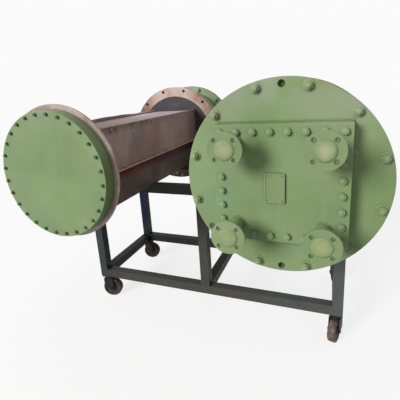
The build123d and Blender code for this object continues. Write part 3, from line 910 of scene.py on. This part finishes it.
lid = nozzle_lid()
nozzle_spots = [(x * NOZZLE_OFFSET, z * NOZZLE_OFFSET) for x in (-1, 1) for z in (-1, 1)]
lid_places = [Matrix.Translation((x, NOZZLE_FACE, z)) @ FACING_DISC for x, z in nozzle_spots]
places = [at_bundle(side, place) for side in ("left", "right") for place in lid_places]
lids = finish_piece(copies(lid, places, "nozzle_lids"), lid_material())
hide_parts("nozzle_blanks")
remove(lid)

# Painted shade: dark plugs sunk in the open bolt holes stand in for the shade inside them, which makes the
# holes read dark
nozzle_hole_shade_plug = turned_disc(NOZZLE_SHADE_PLUG_RADIUS, low=-0.006, high=0.0, sides=24, softening=0.0006)
sink_top(nozzle_hole_shade_plug, border=0.0022, depth=0.0048)
shade_plug_y = NOZZLE_FACE - 0.0045
shade_plug_places = []
for x, z in nozzle_spots:
    for corner in (45, 135, 225, 315):
        angle = math.radians(corner)
        hole_x = x + NOZZLE_HOLE_CIRCLE * math.sin(angle)
        hole_z = z + NOZZLE_HOLE_CIRCLE * math.cos(angle)
        shade_plug_places.append(Matrix.Translation((hole_x, shade_plug_y, hole_z)) @ FACING_DISC)
on_both(nozzle_hole_shade_plug, shade_plug_places, "nozzle_hole_plugs", green_bolt)
# Painted shade: black plugs in the ring flange's open bolt holes
ring_hole_shade_plug = turned_disc(RING_SHADE_PLUG_RADIUS, low=-0.004, high=0.0, sides=20, softening=0.0004)
ring_shade_plug_y = RING_FACE + 0.008
ring_places = on_circle(FLANGE_BOLT_RADIUS, FLANGE_BOLTS, half_pitch, ring_shade_plug_y, FACING_HEAD)
on_both(ring_hole_shade_plug, ring_places, "ring_hole_shade_plugs", hole_shade_black)
remove(nozzle_hole_shade_plug, ring_hole_shade_plug)

# Rims of the disc's two jacking holes, a plug low on the disc, and a drain plug on the box's side
clear_selection()
bpy.ops.mesh.primitive_torus_add(
    major_radius=JACKING_RIM_RADIUS,
    minor_radius=0.0022,
    major_segments=32,
    minor_segments=8,
)
hole_rim = active()
bpy.ops.object.mode_set(mode="EDIT")
bpy.ops.mesh.select_all(action="SELECT")
bpy.ops.transform.resize(value=(1.0, 1.0, 0.3))
bpy.ops.object.mode_set(mode="OBJECT")
rim_heights = (-FLANGE_BOLT_RADIUS, FLANGE_BOLT_RADIUS)
rim_places = [Matrix.Translation((0, DISC_FACE, z)) @ FACING_DISC for z in rim_heights]
on_both(hole_rim, rim_places, "jacking_hole_rims", sunk)
remove(hole_rim)
jack_plug = turned_disc(JACKING_PLUG_RADIUS, low=0.0, high=0.0050, sides=32, softening=0.0012)
sink_top(jack_plug, border=0.0032, depth=0.0046)
jack_x = -FLANGE_BOLT_RADIUS * math.sin(JACKING_PLUG_ANGLE)
jack_z = FLANGE_BOLT_RADIUS * math.cos(JACKING_PLUG_ANGLE)
jack_place = Matrix.Translation((jack_x, DISC_FACE, jack_z)) @ FACING_DISC
on_both(jack_plug, [jack_place], "jacking_plug", dark_bolt)
drain = hex_nut(across=0.013, height=0.010, washer=(0.0095, 0.004), stud=(0.0045, 0.004))
on_both(drain, [Matrix.Translation(DRAIN_SPOT) @ FACING_LEFT], "drain_plug", green_bolt)
remove(jack_plug, drain)

# Weld beads
drop = weld_drop(WELD_DROP)
half_x, half_z = BOX_WIDTH / 2 + WELD_OFF, BOX_HEIGHT / 2 + WELD_OFF
corners = [(-half_x, -half_z), (half_x, -half_z), (half_x, half_z), (-half_x, half_z)]
box_y = DISC_FACE + WELD_OFF
bead_places = []
for number, (x, z) in enumerate(corners):
    next_x, next_z = corners[(number + 1) % 4]
    bead_places += bead_line((x, box_y, z), (next_x, box_y, next_z), BOX_WELD_PITCH)
for x, z in nozzle_spots:
    bead_places += bead_circle(NECK_RADIUS + WELD_OFF, COVER_FACE + WELD_OFF, x, z, BOX_WELD_PITCH)
on_both(drop, bead_places, "box_welds", green_weld)
drum_beads = []
for y in (RING_BACK + WELD_OFF, CHANNEL_FLANGE_BACK - WELD_OFF):
    drum_beads += bead_circle(BARREL_RADIUS + WELD_OFF, y, 0, 0, DRUM_WELD_PITCH)
drum_places = [place @ Matrix.Scale(DRUM_WELD_SCALE, 4) for place in drum_beads]
on_both(drop, drum_places, "drum_welds", green_weld)


def frame_beads():
    """Beads where the legs and cross rails meet the long rails. Joints on flush faces are ground smooth."""
    places = []
    leg_starts = (FRAME_X[0], MIDDLE_X - TUBE / 2, FRAME_X[1] - TUBE)
    inner_edges = (leg_starts[0] + TUBE, leg_starts[1], leg_starts[1] + TUBE, leg_starts[2])
    inset, pitch = FRAME_WELD_INSET, FRAME_WELD_PITCH
    for y in (FRAME_Y[0], FRAME_Y[1] - TUBE):
        for x in inner_edges:
            for z in (RAIL_Z + TUBE, FRAME_TOP - TUBE):
                places += bead_line((x, y + inset, z), (x, y + TUBE - inset, z), pitch)
    for y in (FRAME_Y[0] + TUBE, FRAME_Y[1] - TUBE):
        for x in inner_edges:
            places += bead_line((x, y, RAIL_Z + inset), (x, y, RAIL_Z + TUBE - inset), pitch)
        for x in (inner_edges[0], inner_edges[3]):
            places += bead_line((x, y, FRAME_TOP - TUBE + inset), (x, y, FRAME_TOP - inset), pitch)
    return places


finish_piece(copies(drop, frame_beads(), "frame_welds"), frame_weld)
remove(drop)

# Bare name plate of the right bundle, with a raised border and four rivets
plate_face = COVER_FACE + PLATE_DEPTH
clear_selection()
bpy.ops.mesh.primitive_cube_add(size=1, location=(PLATE_X, COVER_FACE + PLATE_DEPTH / 2, PLATE_Z))
plate = active()
plate.name = "name_plate"
plate.scale = (PLATE_WIDTH, PLATE_DEPTH, PLATE_HEIGHT)
settle(plate)
soften_sharp(0.0012)
select_faces(plate, lambda centre, normal: normal.y > 0.99 and centre.y > plate_face - 0.0005)
bpy.ops.mesh.inset(thickness=0.0045)
bpy.ops.mesh.inset(thickness=0.0015)
bpy.ops.transform.translate(value=(0, -PLATE_SINK, 0))
bpy.ops.object.mode_set(mode="OBJECT")
plate.data.transform(at_bundle("right", Matrix.Identity(4)))
finish_piece(plate, plate_paint)
rivet = turned_disc(radius=0.0028, low=0.0, high=0.0026, sides=14, softening=0.0012)
rivet_places = []
for x in (-1, 1):
    for z in (-1, 1):
        rivet_x = PLATE_X + x * (PLATE_WIDTH / 2 - RIVET_INSET)
        rivet_z = PLATE_Z + z * (PLATE_HEIGHT / 2 - RIVET_INSET)
        spot = Matrix.Translation((rivet_x, plate_face - PLATE_SINK - 0.0002, rivet_z))
        rivet_places.append(at_bundle("right", spot @ FACING_DISC))
finish_piece(copies(rivet, rivet_places, "plate_rivets"), dark_bolt)
remove(rivet)

# Bolts that hold the caster plates, heads below
plate_bolt = hex_nut(across=0.013, height=0.006, washer=(0.0105, 0.0015))
bolt_places = []
for x in (FRAME_X[0] + CASTER_INSET[0], FRAME_X[1] - CASTER_INSET[0]):
    for y in (FRAME_Y[0] + CASTER_INSET[1], FRAME_Y[1] - CASTER_INSET[1]):
        for bolt_x in (x - CASTER_BOLTS[0], x + CASTER_BOLTS[0]):
            for bolt_y in (y - CASTER_BOLTS[1], y + CASTER_BOLTS[1]):
                spot = Matrix.Translation((bolt_x, bolt_y, RAIL_Z - CASTER_PLATE))
                bolt_places.append(spot @ FACING_DOWN)
finish_piece(copies(plate_bolt, bolt_places, "caster_plate_bolts"), caster_steel)
remove(plate_bolt)

# Pale floor, which looks as white as the sky but throws back less light
floor_finish = Finish("pale floor", roughness=0.9, specular=0.0)
light_path = floor_finish.nodes.new("ShaderNodeLightPath")
seen = floor_finish.maths("MAXIMUM", light_path.outputs["Is Camera Ray"], light_path.outputs["Is Glossy Ray"])
seen = floor_finish.maths("MAXIMUM", seen, light_path.outputs["Is Transmission Ray"])
floor_finish.shader.inputs["Base Color"].default_value = (*screen(FLOOR_TONE), 1.0)
floor_finish.shader.inputs["Emission Color"].default_value = (1, 1, 1, 1)
glow = floor_finish.maths("MULTIPLY", seen, SEEN_FLOOR_GLOW)
floor_finish.links.new(glow, floor_finish.shader.inputs["Emission Strength"])
clear_selection()
bpy.ops.mesh.primitive_plane_add(size=FLOOR_SIZE, location=(0, 0, 0))
floor = active()
floor.name = "floor"
floor.data.materials.append(floor_finish.material)

# Soft sun from the left and front, and a sky that is seen whiter than it shines
clear_selection()
bpy.ops.object.light_add(type="SUN", location=(-4, -9, 5))
key = active()
key.name = "key_light"
key.data.energy = LIGHT_STRENGTH
key.data.angle = LIGHT_SPREAD
key.rotation_euler = Vector(LIGHT_TRAVEL).to_track_quat("-Z", "Y").to_euler()

world = bpy.data.worlds.new("studio")
world.use_nodes = True
bpy.context.scene.world = world
sky_nodes, sky_links = world.node_tree.nodes, world.node_tree.links
background = sky_nodes["Background"]
background.inputs["Color"].default_value = (1, 1, 1, 1)
background.inputs["Strength"].default_value = SKY_STRENGTH
white = sky_nodes.new("ShaderNodeBackground")
white.inputs["Color"].default_value = (1, 1, 1, 1)
white.inputs["Strength"].default_value = SEEN_SKY_STRENGTH
path = sky_nodes.new("ShaderNodeLightPath")
choose = sky_nodes.new("ShaderNodeMixShader")
shown = path.outputs["Is Camera Ray"]
for kind in ("Is Glossy Ray", "Is Transmission Ray"):
    either = sky_nodes.new("ShaderNodeMath")
    either.operation = "MAXIMUM"
    sky_links.new(shown, either.inputs[0])
    sky_links.new(path.outputs[kind], either.inputs[1])
    shown = either.outputs[0]
sky_links.new(shown, choose.inputs["Fac"])
sky_links.new(background.outputs[0], choose.inputs[1])
sky_links.new(white.outputs[0], choose.inputs[2])
sky_links.new(choose.outputs[0], sky_nodes["World Output"].inputs["Surface"])

# Camera, where the photo was taken from
bpy.ops.object.camera_add(location=CAMERA_PLACE)
camera = active()
camera.name = "camera"
camera.rotation_euler = Matrix((CAMERA_RIGHT, -CAMERA_DOWN, -CAMERA_FORWARD)).transposed().to_euler()
camera.data.sensor_width = CAMERA_SENSOR
camera.data.lens = CAMERA_LENS
camera.data.shift_x, camera.data.shift_y = CAMERA_SHIFT
bpy.context.scene.camera = camera
bpy.context.scene.view_settings.view_transform = "Standard"
